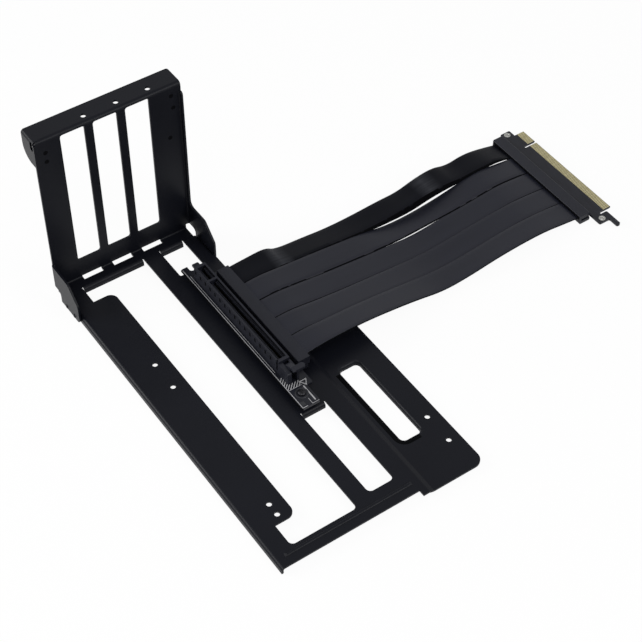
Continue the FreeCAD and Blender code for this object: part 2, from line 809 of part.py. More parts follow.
def build():
    frame = bracket_frame().cut(rivet_holes())
    nodes = {
        "bracket_frame": [frame],
        "gusset_rivets": gusset_rivets(),
        "riser_board": [riser_board()],
        "board_spacers": board_spacers(),
        "board_screws": board_screws(),
        "slot_housing": [slot_housing()],
        "slot_contacts": slot_contacts(),
        "slot_latch": [slot_latch()],
        "cable_clamp": [cable_clamp()],
        "plug_board": [plug_board()],
        "plug_eyelets": plug_eyelets(),
        "plug_cover_top": [plug_cover(True)],
        "plug_cover_bottom": [plug_cover(False)],
    }
    for index in range(ribbon_count):
        nodes["ribbon_strip_%d" % (index + 1)] = [ribbon_strip(index)]
    return nodes


def main():
    os.makedirs("parts", exist_ok=True)
    centre = V((plate_end - top_depth) / 2, (plate_right + gusset_left_face - rivet_head) / 2, 0)
    for name, solids in build().items():
        shape = solids[0] if len(solids) == 1 else Part.makeCompound(solids)
        shape.translate(centre * -1)
        shape.exportStep("parts/%s.step" % name)
        box_mm = shape.BoundBox
        print(name, "solids", len(shape.Solids), "valid", shape.isValid(), "volume", round(shape.Volume, 1),
              "x %.2f %.2f y %.2f %.2f z %.2f %.2f" % (box_mm.XMin, box_mm.XMax, box_mm.YMin, box_mm.YMax,
                                                      box_mm.ZMin, box_mm.ZMax))
    print("moved by", -centre.x, -centre.y)


main()
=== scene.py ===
# %% [markdown]
# # A vertical card bracket with its riser cable
#
# The object is a black folded-steel bracket that stands a graphics card on edge. A small riser
# board with a card slot sits on its base, and five flat ribbon strips run from there to a plug
# that lies on the table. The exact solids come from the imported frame, so this lesson only adds
# the camera, the light, the finishes and the pieces that a solid modeller leaves out.

# %% Load the frame
import math
import bmesh
import bpy
from mathutils import Matrix, Vector


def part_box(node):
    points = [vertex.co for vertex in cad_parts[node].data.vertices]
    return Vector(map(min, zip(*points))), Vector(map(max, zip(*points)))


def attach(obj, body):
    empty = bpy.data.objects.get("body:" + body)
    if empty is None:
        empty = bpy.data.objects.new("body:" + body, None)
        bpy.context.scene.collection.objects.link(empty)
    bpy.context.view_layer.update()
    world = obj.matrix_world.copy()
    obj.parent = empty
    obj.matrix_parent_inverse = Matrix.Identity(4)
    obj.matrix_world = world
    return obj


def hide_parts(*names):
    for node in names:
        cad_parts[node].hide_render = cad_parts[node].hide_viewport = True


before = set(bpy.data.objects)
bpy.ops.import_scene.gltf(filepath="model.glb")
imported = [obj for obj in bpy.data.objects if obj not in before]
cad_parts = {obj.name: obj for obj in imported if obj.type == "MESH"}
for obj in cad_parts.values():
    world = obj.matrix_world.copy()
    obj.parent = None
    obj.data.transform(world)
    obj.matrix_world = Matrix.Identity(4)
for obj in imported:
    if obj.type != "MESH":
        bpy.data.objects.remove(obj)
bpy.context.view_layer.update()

MM = 0.001

# %% [markdown]
# The photograph looks down on the bracket from its front left corner through a long lens. The
# place of the camera was found from the card windows, which stand at a standard pitch, so the
# model and the photograph can be laid over each other. A camera is easiest to read as a turn about
# the vertical, a tilt above the horizon and a small roll about its own axis.

# %% Camera
EYE = Vector((0.51498, -0.31364, 0.70947))
AZIMUTH = 55.03
ELEVATION = 48.04
ROLL = 0.42
LENS = 91.91
SENSOR = 36.0

camera_data = bpy.data.cameras.new("photo_camera")
camera_data.lens = LENS
camera_data.sensor_width = SENSOR
camera = bpy.data.objects.new("photo_camera", camera_data)
turn = Matrix.Rotation(math.radians(AZIMUTH), 4, "Z")
tilt = Matrix.Rotation(math.radians(90 - ELEVATION), 4, "X")
roll = Matrix.Rotation(math.radians(ROLL), 4, "Z")
camera.matrix_world = Matrix.Translation(EYE) @ turn @ tilt @ roll
bpy.context.scene.collection.objects.link(camera)
bpy.context.scene.camera = camera
bpy.context.scene.view_settings.view_transform = "Standard"
print("camera", [round(v, 3) for v in camera.location])

# %% [markdown]
# Black metal shows little colour of its own: what we see is the room in it. The pale floor shows in
# the faces that stand upright, and three broad lamps stand where no flat top mirrors them into the
# camera, so the tops stay black while the bends catch thin lines of light. The camera and the
# gloss see plain white behind the object. That white comes from the light path, so it puts no
# extra light on the metal, and a small share of the floor's own shading keeps the soft shadow.

# %% White for the camera
WHITE = (1, 1, 1, 1)


def camera_white(tree, shaded, share):
    """Mixes plain white over a shader for camera, glossy and transmission rays."""
    nodes = tree.nodes
    links = tree.links
    path = nodes.new("ShaderNodeLightPath")
    seen = path.outputs["Is Camera Ray"]
    for ray in ("Is Glossy Ray", "Is Transmission Ray"):
        either = nodes.new("ShaderNodeMath")
        either.operation = "MAXIMUM"
        links.new(seen, either.inputs[0])
        links.new(path.outputs[ray], either.inputs[1])
        seen = either.outputs[0]
    scale = nodes.new("ShaderNodeMath")
    scale.operation = "MULTIPLY"
    scale.inputs[1].default_value = share
    links.new(seen, scale.inputs[0])
    kind = "ShaderNodeBackground" if shaded.type == "BACKGROUND" else "ShaderNodeEmission"
    white = nodes.new(kind)
    white.inputs["Color"].default_value = WHITE
    white.inputs["Strength"].default_value = 1.0
    mix = nodes.new("ShaderNodeMixShader")
    links.new(scale.outputs[0], mix.inputs[0])
    links.new(shaded.outputs[0], mix.inputs[1])
    links.new(white.outputs[0], mix.inputs[2])
    return mix.outputs[0]


print("camera white ready")

# %% World
WORLD_LEVEL = 0.35

world = bpy.data.worlds.new("studio")
bpy.context.scene.world = world
world.use_nodes = True
world_tree = world.node_tree
world_tree.nodes.clear()
sky = world_tree.nodes.new("ShaderNodeBackground")
sky.inputs["Color"].default_value = WHITE
sky.inputs["Strength"].default_value = WORLD_LEVEL
world_out = world_tree.nodes.new("ShaderNodeOutputWorld")
world_tree.links.new(camera_white(world_tree, sky, share=1.0), world_out.inputs["Surface"])
print("world", WORLD_LEVEL)

# %% Floor
FLOOR_SIZE = 6.0
FLOOR_COLOR = (0.9, 0.9, 0.9, 1)
FLOOR_ROUGHNESS = 0.9
FLOOR_WHITE = 0.94

floor_mesh = bpy.data.meshes.new("floor")
bm = bmesh.new()
bmesh.ops.create_grid(bm, x_segments=1, y_segments=1, size=FLOOR_SIZE / 2)
bm.to_mesh(floor_mesh)
bm.free()
floor = bpy.data.objects.new("floor", floor_mesh)
bpy.context.scene.collection.objects.link(floor)
floor_material = bpy.data.materials.new("pale_floor")
floor_material.use_nodes = True
floor_tree = floor_material.node_tree
floor_shader = floor_tree.nodes["Principled BSDF"]
floor_shader.inputs["Base Color"].default_value = FLOOR_COLOR
floor_shader.inputs["Roughness"].default_value = FLOOR_ROUGHNESS
floor_out = floor_tree.nodes["Material Output"]
floor_tree.links.new(camera_white(floor_tree, floor_shader, FLOOR_WHITE), floor_out.inputs["Surface"])
floor_mesh.materials.append(floor_material)
print("floor", FLOOR_SIZE)

# %% Lamps
LAMP_AIM = Vector((0.0, 0.05, 0.0))
LAMPS = (
    ("left_box", (-0.75, -1.0, 0.55), 0.7, 12.5),
    ("front_box", (1.1, 0.57, 0.82), 0.7, 8.0),
    ("camera_box", (0.6, -0.6, 1.5), 0.9, 7.0),
)
for name, place, size, power in LAMPS:
    lamp_data = bpy.data.lights.new(name, "AREA")
    lamp_data.size = size
    lamp_data.energy = power
    lamp = bpy.data.objects.new(name, lamp_data)
    aim = LAMP_AIM - Vector(place)
    lamp.matrix_world = Matrix.Translation(place) @ aim.to_track_quat("-Z", "Y").to_matrix().to_4x4()
    bpy.context.scene.collection.objects.link(lamp)
    print("lamp", name, place, power)

# %% [markdown]
# Every finish starts from one shader. A finish on a real thing is never one flat colour: paint
# has a fine orange peel, moulded plastic a dull grain, plating a drift in its polish. So each
# material here mixes a noise into its colour, its roughness and its bump. Unless a pattern follows
# a strip, it reads Object coordinates, which are metres on the piece itself, so a scale of 1000
# gives grains of about a millimetre, whatever the camera does. Most of a noise lies between 0.3 and
# 0.7, so that stretch is spread over the whole range of colour and roughness.

# %% Patterns
NOISE_LOW = 0.3
NOISE_HIGH = 0.7
WAVE_RADIANS = 20


def pattern_vector(tree, source, stretch, angle=0.0):
    """Coordinates of a pattern, stretched and turned about the vertical."""
    coords = tree.nodes.new("ShaderNodeTexCoord")
    mapping = tree.nodes.new("ShaderNodeMapping")
    mapping.inputs["Scale"].default_value = stretch
    mapping.inputs["Rotation"].default_value = (0, 0, math.radians(angle))
    tree.links.new(coords.outputs[source], mapping.inputs["Vector"])
    return mapping.outputs["Vector"]


def noise_pattern(tree, scale, detail, source="Object", stretch=(1, 1, 1), angle=0.0):
    noise = tree.nodes.new("ShaderNodeTexNoise")
    noise.inputs["Scale"].default_value = scale
    noise.inputs["Detail"].default_value = detail
    tree.links.new(pattern_vector(tree, source, stretch, angle), noise.inputs["Vector"])
    return noise.outputs["Fac"]


def wave_pattern(tree, pitch, direction, source="Object"):
    """Bands at a pitch in metres. A wave of scale 1 turns by WAVE_RADIANS in each metre."""
    wave = tree.nodes.new("ShaderNodeTexWave")
    wave.bands_direction = direction
    wave.inputs["Scale"].default_value = math.tau / (WAVE_RADIANS * pitch)
    tree.links.new(pattern_vector(tree, source, (1, 1, 1)), wave.inputs["Vector"])
    return wave.outputs["Fac"]


print("patterns ready")

# %% Helpers for finishes
FINE_BUMP = 0.0001


def start_material(name, specular=0.5, metallic=0.0):
    """A material with its plain numbers set on the shader's own sockets."""
    material = bpy.data.materials.new(name)
    material.use_nodes = True
    shader = material.node_tree.nodes["Principled BSDF"]
    shader.inputs["Specular IOR Level"].default_value = specular
    shader.inputs["Metallic"].default_value = metallic
    return material, material.node_tree, shader


def vary_color(tree, shader, factor, first, second):
    ramp = tree.nodes.new("ShaderNodeValToRGB")
    ramp.color_ramp.elements[0].position = NOISE_LOW
    ramp.color_ramp.elements[0].color = (*first, 1)
    ramp.color_ramp.elements[1].position = NOISE_HIGH
    ramp.color_ramp.elements[1].color = (*second, 1)
    tree.links.new(factor, ramp.inputs["Fac"])
    tree.links.new(ramp.outputs["Color"], shader.inputs["Base Color"])


def vary_roughness(tree, shader, factor, low, high):
    spread = tree.nodes.new("ShaderNodeMapRange")
    spread.inputs["From Min"].default_value = NOISE_LOW
    spread.inputs["From Max"].default_value = NOISE_HIGH
    spread.inputs["To Min"].default_value = low
    spread.inputs["To Max"].default_value = high
    tree.links.new(factor, spread.inputs["Value"])
    tree.links.new(spread.outputs["Result"], shader.inputs["Roughness"])


def add_bump(tree, shader, height, strength, distance=FINE_BUMP):
    """Adds a bump on top of the bumps that the shader already has."""
    bump = tree.nodes.new("ShaderNodeBump")
    bump.inputs["Strength"].default_value = strength
    bump.inputs["Distance"].default_value = distance
    tree.links.new(height, bump.inputs["Height"])
    normal = shader.inputs["Normal"]
    if normal.is_linked:
        tree.links.new(normal.links[0].from_socket, bump.inputs["Normal"])
    tree.links.new(bump.outputs["Normal"], normal)


print("finish helpers ready")

# %% [markdown]
# The frame is mild steel with a satin black powder coat. The powder melts into a skin with a very
# fine orange peel, which breaks up the reflections a little, and slow drifts in gloss come from
# handling. A slow noise gives the drift, and two fine ones give the peel and its grit.

# %% Powder coat
powder_coat, tree, shader = start_material("powder_coat", specular=0.1)
drift = noise_pattern(tree, scale=18, detail=3)
peel = noise_pattern(tree, scale=900, detail=2)
grit = noise_pattern(tree, scale=2600, detail=1)
vary_color(tree, shader, drift, first=(0.0042, 0.0047, 0.0074), second=(0.0058, 0.0064, 0.0096))
vary_roughness(tree, shader, drift, low=0.32, high=0.40)
add_bump(tree, shader, peel, strength=0.12, distance=2 * FINE_BUMP)
add_bump(tree, shader, grit, strength=0.10)
print("powder coat", len(tree.nodes), "nodes")

# %% [markdown]
# The ribbon strips are ribbon cable in a soft black film. The wires inside show as very shallow ribs along
# the strip. The ribs have to follow the strip and not the world, so they are read from a UV map that the
# strip's mesh carries: U is the distance across it, V the distance along it. The first strip was folded
# twice. Its film is a darker, duller copy of the others, which is painted shade, and a ramp along V paints
# pale highlights across it at its two creases.

# %% Ribbon film
WIRE_PITCH = 0.00064


def ribbon_finish(name, specular, first, second):
    """Film with wire ribs, long smears and a fine skin; gives its material, nodes and shader."""
    material, tree, shader = start_material(name, specular)
    ribs = wave_pattern(tree, WIRE_PITCH, "X", source="UV")
    smear = noise_pattern(tree, scale=160, detail=3, source="UV", stretch=(1.0, 0.08, 1.0))
    skin = noise_pattern(tree, scale=1800, detail=2)
    vary_color(tree, shader, smear, first, second)
    vary_roughness(tree, shader, smear, low=0.36, high=0.44)
    add_bump(tree, shader, ribs, strength=0.10)
    add_bump(tree, shader, skin, strength=0.06)
    return material, tree, shader


ribbon_film, tree, shader = ribbon_finish(
    "ribbon_film", specular=0.2, first=(0.0078, 0.0085, 0.0145), second=(0.0100, 0.0108, 0.0175))
print("ribbon film", len(tree.nodes), "nodes")

# %% Film with painted shade and crease highlights
# Painted highlights across the first strip at its creases: where each lies along the strip, in metres, and
# how strong it is.
CREASE_HIGHLIGHTS = ((0.022, 0.0), (0.029, 1.0), (0.037, 0.0), (0.132, 0.0), (0.140, 0.9), (0.149, 0.0))
CREASE_HIGHLIGHT_COLOR = (0.055, 0.057, 0.066, 1)
CREASE_REACH = 0.2


def socket_called(sockets, identifier):
    """The socket with an identifier, for a node whose sockets share their names."""
    return next(socket for socket in sockets if socket.identifier == identifier)


# A darker, duller copy of the ribbon film for the first strip: painted shade.
shaded_film_with_highlights, tree, shader = ribbon_finish(
    "shaded_film_with_highlights", specular=0.05, first=(0.0033, 0.0037, 0.0058), second=(0.0048, 0.0052, 0.0078))
plain = shader.inputs["Base Color"].links[0].from_socket
split = tree.nodes.new("ShaderNodeSeparateXYZ")
along_strip = pattern_vector(tree, "UV", stretch=(1.0, 1 / CREASE_REACH, 1.0))
tree.links.new(along_strip, split.inputs["Vector"])
crease = tree.nodes.new("ShaderNodeValToRGB")
stops = crease.color_ramp.elements
stops.remove(stops[1])
for along, pale in CREASE_HIGHLIGHTS:
    stop = stops.new(along / CREASE_REACH)
    stop.color = (pale, pale, pale, 1)
tree.links.new(split.outputs["Y"], crease.inputs["Fac"])
streak = noise_pattern(tree, scale=700, detail=2, source="UV", stretch=(1.0, 0.05, 1.0))
# The ramp times the streaks gives the share of the painted highlight colour.
highlight_share = tree.nodes.new("ShaderNodeMath")
highlight_share.operation = "MULTIPLY"
tree.links.new(crease.outputs["Color"], highlight_share.inputs[0])
tree.links.new(streak, highlight_share.inputs[1])
blend = tree.nodes.new("ShaderNodeMix")
blend.data_type = "RGBA"
tree.links.new(highlight_share.outputs[0], blend.inputs["Factor"])
tree.links.new(plain, socket_called(blend.inputs, "A_Color"))
socket_called(blend.inputs, "B_Color").default_value = CREASE_HIGHLIGHT_COLOR
tree.links.new(socket_called(blend.outputs, "Result_Color"), shader.inputs["Base Color"])
print("creased film", len(tree.nodes), "nodes")

# %% [markdown]
# Glass-fibre boards have a black solder mask over their copper. The weave of the glass shows as a
# faint grid in the gloss, and the copper under the mask lifts it in slow patches.

# %% Board mask
GLASS_PITCH = 0.0006

board_mask, tree, shader = start_material("board_mask", specular=0.2)
copper = noise_pattern(tree, scale=420, detail=2, stretch=(0.25, 1, 1))
warp = wave_pattern(tree, GLASS_PITCH, "X")
weft = wave_pattern(tree, GLASS_PITCH, "Y")
vary_color(tree, shader, copper, first=(0.0050, 0.0055, 0.0092), second=(0.0085, 0.0093, 0.0145))
vary_roughness(tree, shader, copper, low=0.26, high=0.36)
add_bump(tree, shader, warp, strength=0.05)
add_bump(tree, shader, weft, strength=0.05)
add_bump(tree, shader, copper, strength=0.08)
print("board mask", len(tree.nodes), "nodes")

# %% [markdown]
# The slot, its latch, the clamp and the plug's cover are moulded in black glass-filled plastic. A
# mould is spark-eroded, so the plastic has an even dull grain, and the fibres leave it a little
# cloudy.

# %% Moulded plastic
moulded, tree, shader = start_material("moulded_plastic", specular=0.2)
cloud = noise_pattern(tree, scale=120, detail=3)
grain = noise_pattern(tree, scale=2200, detail=2)
vary_color(tree, shader, cloud, first=(0.0068, 0.0074, 0.0121), second=(0.0098, 0.0106, 0.0163))
vary_roughness(tree, shader, cloud, low=0.42, high=0.50)
add_bump(tree, shader, grain, strength=0.18)
print("moulded plastic", len(tree.nodes), "nodes")

# %% [markdown]
# The chambers of the slot, the edges of the ribbons, the long edge of the riser board and a few other places
# lie in deep shade. One dull black, with a coarse grain and next to no gloss, paints that shade on them all.
# A single noise is enough for it and for the other small finishes, so one function makes them.

# %% Dull black for painted shade


def grained_finish(name, scale, detail, colors, roughness, bump, stretch=(1, 1, 1), angle=0.0,
                   specular=0.5, metallic=0.0):
    """A finish in which one noise drives the colour, the roughness and the bump."""
    material, tree, shader = start_material(name, specular, metallic)
    grain = noise_pattern(tree, scale, detail, stretch=stretch, angle=angle)
    vary_color(tree, shader, grain, *colors)
    vary_roughness(tree, shader, grain, *roughness)
    add_bump(tree, shader, grain, bump)
    print(name, len(tree.nodes), "nodes")
    return material


# A dull black that paints shade wherever it lies.
painted_shade_black = grained_finish("painted_shade_black", scale=3200, detail=3, specular=0.03,
                            roughness=(0.78, 0.92), bump=0.3,
                            colors=((0.0016, 0.0017, 0.0022), (0.0034, 0.0035, 0.0042)))

# %% [markdown]
# Seven small finishes remain. Gold on the card edge is polished along the way that it slides in. The slot's
# contacts are a much darker gold, which is painted shade, for they lie deep in the slot. Tin is mottled where
# it froze, zinc on the screws is finely brushed, and the front screw is blackened steel. Copper under the
# board's mask shines through a little, and the board's print is ink from a screen, slightly open in its
# grain.

# %% Metals
gold = grained_finish("gold_plate", scale=3000, detail=2, stretch=(1, 0.05, 1), metallic=1.0,
                      roughness=(0.24, 0.36), bump=0.08,
                      colors=((0.38, 0.34, 0.19), (0.52, 0.47, 0.28)))
# Gold darkened to painted shade, for the contacts deep in the slot.
contact_gold_painted_shade = grained_finish("contact_gold_painted_shade", scale=2600, detail=2, stretch=(1, 1, 0.1), metallic=1.0,
                               roughness=(0.42, 0.58), bump=0.08,
                               colors=((0.016, 0.013, 0.008), (0.034, 0.027, 0.015)))
tin = grained_finish("tin_plate", scale=1500, detail=3, metallic=1.0,
                     roughness=(0.26, 0.46), bump=0.15,
                     colors=((0.24, 0.24, 0.225), (0.38, 0.38, 0.36)))
zinc = grained_finish("zinc_plate", scale=2600, detail=2, stretch=(1, 0.1, 1), angle=30, metallic=1.0,
                      roughness=(0.26, 0.42), bump=0.12,
                      colors=((0.42, 0.42, 0.44), (0.60, 0.60, 0.61)))
black_steel = grained_finish("black_steel", scale=1400, detail=3, metallic=1.0,
                             roughness=(0.3, 0.5), bump=0.1,
                             colors=((0.016, 0.016, 0.018), (0.04, 0.04, 0.044)))

# %% Masked copper and print
masked_copper = grained_finish("masked_copper", scale=1600, detail=2, specular=0.2,
                               roughness=(0.34, 0.46), bump=0.1,
                               colors=((0.016, 0.017, 0.020), (0.034, 0.035, 0.040)))
print_ink = grained_finish("print_ink", scale=3500, detail=2, specular=0.2,
                           roughness=(0.52, 0.66), bump=0.15,
                           colors=((0.30, 0.30, 0.31), (0.42, 0.42, 0.43)))

# %% [markdown]
# The solids that stay as they are only need a finish. A solid's object keeps its place and its mesh,
# and the new finish takes its material slot. Pieces that are made again below aren't in this list.

# %% Finishes of the solid pieces
FINISHES = {
    "bracket_frame": powder_coat, "riser_board": board_mask, "plug_board": board_mask,
    "slot_housing": moulded, "slot_latch": moulded, "cable_clamp": moulded,
    "plug_cover_top": moulded, "plug_cover_bottom": moulded, "slot_contacts": contact_gold_painted_shade,
    "board_spacers": zinc,
}
for name, finish in FINISHES.items():
    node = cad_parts[name]
    node.data.materials.clear()
    node.data.materials.append(finish)
print("finished", len(FINISHES), "nodes")

# %% [markdown]
# A new piece is a bmesh first: a small mesh that operators shape in memory. When it is done it
# becomes an object at the origin, with its place in its mesh, it gets its finish, and it rides on
# a body of the model, so that it moves with that body.

# %% Helpers for pieces


def mm(x, y, z):
    """A point given in millimetres."""
    return Vector((x, y, z)) * MM


def add_piece(name, bm, material, body="bracket"):
    """Makes an object of a bmesh, gives it its finish and lets it ride on a body."""
    mesh = bpy.data.meshes.new(name)
    bm.to_mesh(mesh)
    bm.free()
    mesh.materials.append(material)
    piece = bpy.data.objects.new(name, mesh)
    bpy.context.scene.collection.objects.link(piece)
    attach(piece, body)
    print(name, "faces", len(mesh.polygons))
    return piece


def verts_of(items):
    return [item for item in items if isinstance(item, bmesh.types.BMVert)]


def edges_of(items):
    return [item for item in items if isinstance(item, bmesh.types.BMEdge)]


print("piece helpers ready")

# %% Helpers for shapes
ROUND_STEPS = 28
MERGE = 1e-7
SLIVER = 1e-8


def bar(bm, low, high):
    """A box between two corners, from a unit cube."""
    verts = bmesh.ops.create_cube(bm, size=1.0)["verts"]
    bmesh.ops.scale(bm, verts=verts, vec=high - low)
    bmesh.ops.translate(bm, verts=verts, vec=(low + high) / 2)
    return verts


def turned(bm, profile, centre, axis):
    """Spins a closed profile of (radius, height) points in millimetres about an axis."""
    across = axis.orthogonal().normalized()
    verts = [bm.verts.new(centre + (across * radius + axis * height) * MM) for radius, height in profile]
    edges = [bm.edges.new(pair) for pair in zip(verts, verts[1:] + verts[:1])]
    bmesh.ops.spin(bm, geom=verts + edges, cent=centre, axis=axis, dvec=(0, 0, 0),
                   angle=math.tau, steps=ROUND_STEPS, use_merge=True, use_duplicate=False)


def drawn_out(bm, edges, shift):
    """Extrudes a line of edges by a shift; gives its new points and edges."""
    made = bmesh.ops.extrude_edge_only(bm, edges=edges)["geom"]
    points = verts_of(made)
    bmesh.ops.translate(bm, verts=points, vec=shift)
    return points, edges_of(made)


def close_up(bm):
    """Merges doubles and points the faces outwards."""
    bmesh.ops.remove_doubles(bm, verts=bm.verts, dist=MERGE)
    bmesh.ops.dissolve_degenerate(bm, edges=bm.edges, dist=SLIVER)
    bmesh.ops.recalc_face_normals(bm, faces=bm.faces)


print("shape helpers ready")

# %% [markdown]
# A ribbon strip is a thin flat cable that twists a little as it lies, so its two edges don't rise and fall
# together. Each edge is a smooth spline with the route's points as control points. The lines are bridged into
# one long band, which is subdivided across, and two modifiers give it its thickness and soft edges. The first
# two strips curl under along their near edge, so they have a third line just past the second one and below
# it. That lip and the cut edges of every strip get the dull black, which paints the shade between the strips.
# The strips lie where the solids' strips lie.

# %% Edges of the ribbon strips
STRIP_WIDTH = 0.0159
STRIP_THICK = 0.001
STRIP_SPAN = 204.4
STRIP_SHIFT = -4.6
STRIP_LEAN = STRIP_SHIFT / STRIP_SPAN
FOLDED = (0, 13, 25, 32, 51, 70, 90, 109, 124, 138, 152, 163, 177, 193.4, STRIP_SPAN)
LEVEL = (0, 9, 24, 40, 62, 84, 104, 124, 146, 166, 182.4, STRIP_SPAN)
DIPPED = (0, 9, 24, 40, 62, 84, 96, 108, 120, 132, 146, 166, 182.4, STRIP_SPAN)
OUTER = (0, 9, 24, 40, 59, 79, 99, 119, 139, 159, 178, 193.4, STRIP_SPAN)
CURL = 0.0153
STRIP_EDGES = (
    (FOLDED, (
        (0.0, (14.7, 15.2, 15.5, 10.2, 8.4, 6.0, 5.8, 6.6, 6.1, 10.1, 11.5, 7.4, 9.7, 6.4, 3.2)),
        (CURL, (14.7, 14.9, 13.2, 12.4, 10.4, 8.4, 6.4, 6.6, 8.2, 10.2, 10.4, 8.8, 9.2, 8.6, 4.0)),
        (STRIP_WIDTH, (14.4, 14.5, 12.6, 11.8, 9.6, 7.0, 4.6, 3.4, 3.2, 5.8, 6.6, 6.6, 6.8, 7.6, 3.6)))),
    (LEVEL, (
        (0.0, (14.7, 15.3, 13.4, 11.6, 8.9, 6.2, 1.8, 1.4, 3.6, 7.4, 7.8, 3.8)),
        (CURL, (14.7, 15.4, 13.2, 10.6, 7.8, 5.4, 3.6, 4.0, 4.5, 6.1, 7.2, 3.6)),
        (STRIP_WIDTH, (14.5, 14.9, 12.4, 9.7, 6.9, 4.7, 3.4, 3.8, 3.8, 5.2, 6.4, 3.4)))),
    (DIPPED, (
        (0.0, (14.5, 15.0, 12.9, 10.3, 7.4, 4.9, 4.0, 2.6, 2.8, 4.0, 4.2, 5.7, 6.8, 3.5)),
        (STRIP_WIDTH, (14.7, 15.2, 12.4, 9.8, 7.2, 4.5, 3.1, 2.2, 2.4, 3.0, 3.9, 5.6, 6.4, 3.6)))),
    (LEVEL, (
        (0.0, (14.6, 15.1, 12.3, 9.8, 7.3, 4.9, 2.8, 3.3, 4.9, 6.2, 6.4, 3.6)),
        (STRIP_WIDTH, (14.7, 15.2, 12.8, 11.4, 9.0, 5.8, 2.6, 2.8, 4.8, 6.2, 6.4, 3.6)))),
    (OUTER, (
        (0.0, (14.6, 15.2, 13.4, 12.4, 10.3, 7.4, 4.2, 3.4, 5.0, 6.6, 6.8, 5.2, 3.6)),
        (STRIP_WIDTH, (14.7, 15.8, 15.7, 15.1, 12.6, 9.1, 4.3, 5.0, 7.4, 8.3, 7.8, 5.2, 3.6)))),
)
print("strips", len(STRIP_EDGES))

# %% Splines along the strips
SPLINE_STEPS = 8


def spline_points(name, points):
    """Points read from a smooth spline whose control points are the route's."""
    curve = bpy.data.curves.new(name, "CURVE")
    curve.dimensions = "3D"
    curve.resolution_u = SPLINE_STEPS
    spline = curve.splines.new("NURBS")
    spline.points.add(len(points) - 1)
    for control, place in zip(spline.points, points):
        control.co = (*place, 1)
    spline.order_u = 3
    spline.use_endpoint_u = True
    holder = bpy.data.objects.new(name, curve)
    bpy.context.scene.collection.objects.link(holder)
    mesh = bpy.data.meshes.new_from_object(holder)
    line = [vertex.co.copy() for vertex in mesh.vertices]
    bpy.data.meshes.remove(mesh)
    bpy.data.objects.remove(holder)
    return line


print("spline steps", SPLINE_STEPS)

# %% Bands of the ribbon strips
STRIP_LANES = 6
# The slot of the dull black that paints shade on the rims and on the curled lip.
RIM_SHADE_SLOT = 1
CURL_PAST = 0.0001


def band(lines, start):
    """Bridges edge lines into a band with a UV map across and along it."""
    bm = bmesh.new()
    chains = []
    for line in lines:
        verts = [bm.verts.new(point) for point in line]
        chains.append([bm.edges.new(pair) for pair in zip(verts, verts[1:])])
    for first, second in zip(chains, chains[1:]):
        bmesh.ops.bridge_loops(bm, edges=first + second)
    long_edges = {edge for chain in chains for edge in chain}
    rungs = [edge for edge in bm.edges if edge not in long_edges]
    bmesh.ops.subdivide_edges(bm, edges=rungs, cuts=STRIP_LANES - 1, use_grid_fill=True)
    bmesh.ops.recalc_face_normals(bm, faces=bm.faces)
    curled = len(lines) > 2
    uv = bm.loops.layers.uv.new("across_along")
    for face in bm.faces:
        face.smooth = True
        for loop in face.loops:
            offset = loop.vert.co - start
            loop[uv].uv = (offset.x - offset.y * STRIP_LEAN, offset.y)
        if curled and max(loop[uv].uv.x for loop in face.loops) > CURL + CURL_PAST:
            face.material_index = RIM_SHADE_SLOT
    return bm


print("lanes across a strip", STRIP_LANES)

# %% Ribbon strips
STRIP_EDGE = 0.00015
STRIP_EDGE_ANGLE = 60

for index, (stations, edges) in enumerate(STRIP_EDGES):
    node = "ribbon_strip_%d" % (index + 1)
    low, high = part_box(node)
    start = Vector((high.x - STRIP_WIDTH, low.y, 0))
    lines = []
    for across, heights in edges:
        places = [start + Vector((across, 0, 0)) + mm(STRIP_LEAN * a, a, z)
                  for a, z in zip(stations, heights)]
        lines.append(spline_points(node + "_edge", places))
    film = shaded_film_with_highlights if index == 0 else ribbon_film
    strip = add_piece(node + "_film", band(lines, start), film)
    # The rims and the curled lip take the dull black: painted shade between the strips.
    strip.data.materials.append(painted_shade_black)
    solid = strip.modifiers.new("thickness", "SOLIDIFY")
    solid.thickness = STRIP_THICK
    solid.offset = 0
    solid.material_offset_rim = RIM_SHADE_SLOT
    soft = strip.modifiers.new("soft_edges", "BEVEL")
    soft.width = STRIP_EDGE
    soft.segments = 2
    soft.limit_method = "ANGLE"
    soft.angle_limit = math.radians(STRIP_EDGE_ANGLE)
    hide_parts(node)

# %% [markdown]
# The plug's card edge carries gold-plated fingers on both faces, one millimetre apart, in a short
# and a long group with the key notch between. Each is a very thin bar on the board's face, so a
# loop over the pitch is all it takes.

# %% Gold fingers
EDGE_START = -66.7
EDGE_GROUPS = ((0.0, 11.15, 11), (13.05, 71.15, 71))
FINGER_PITCH = 1.0
FINGER_WIDTH = 0.7
FINGER_BACK = 246.4
FINGER_FRONT = 251.65
FINGER_THICK = 0.04

board_low, board_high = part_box("plug_board")
bm = bmesh.new()
for group_start, group_length, count in EDGE_GROUPS:
    first = EDGE_START + group_start + (group_length - FINGER_PITCH * (count - 1)) / 2
    for index in range(count):
        x = first + FINGER_PITCH * index
        for z in (board_high.z / MM, board_low.z / MM - FINGER_THICK):
            bar(bm, mm(x - FINGER_WIDTH / 2, FINGER_BACK, z),
                mm(x + FINGER_WIDTH / 2, FINGER_FRONT, z + FINGER_THICK))
fingers = add_piece("edge_fingers", bm, gold)

# %% [markdown]
# An eyelet is a plated sleeve whose two ends are rolled over the board. It is a round thing, so a
# profile spun about its axis makes it in one go. The profile is a closed loop of radius and
# height, and the spin is told to merge its last copy with its first.

# %% Eyelets
EYELETS = ((-69.65, 240.8), (22.75, 240.8))
EYELET_PROFILE = ((1.1, 2.15), (1.25, 2.0), (2.0, 2.0), (2.15, 2.08), (2.15, 2.2), (1.8, 2.2),
                  (1.8, 3.8), (2.15, 3.8), (2.15, 3.92), (2.0, 4.0), (1.25, 4.0), (1.1, 3.85))

bm = bmesh.new()
for x, y in EYELETS:
    turned(bm, EYELET_PROFILE, mm(x, y, 0), Vector((0, 0, 1)))
close_up(bm)
eyelet_rings = add_piece("eyelet_rings", bm, tin)
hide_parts("plug_eyelets")
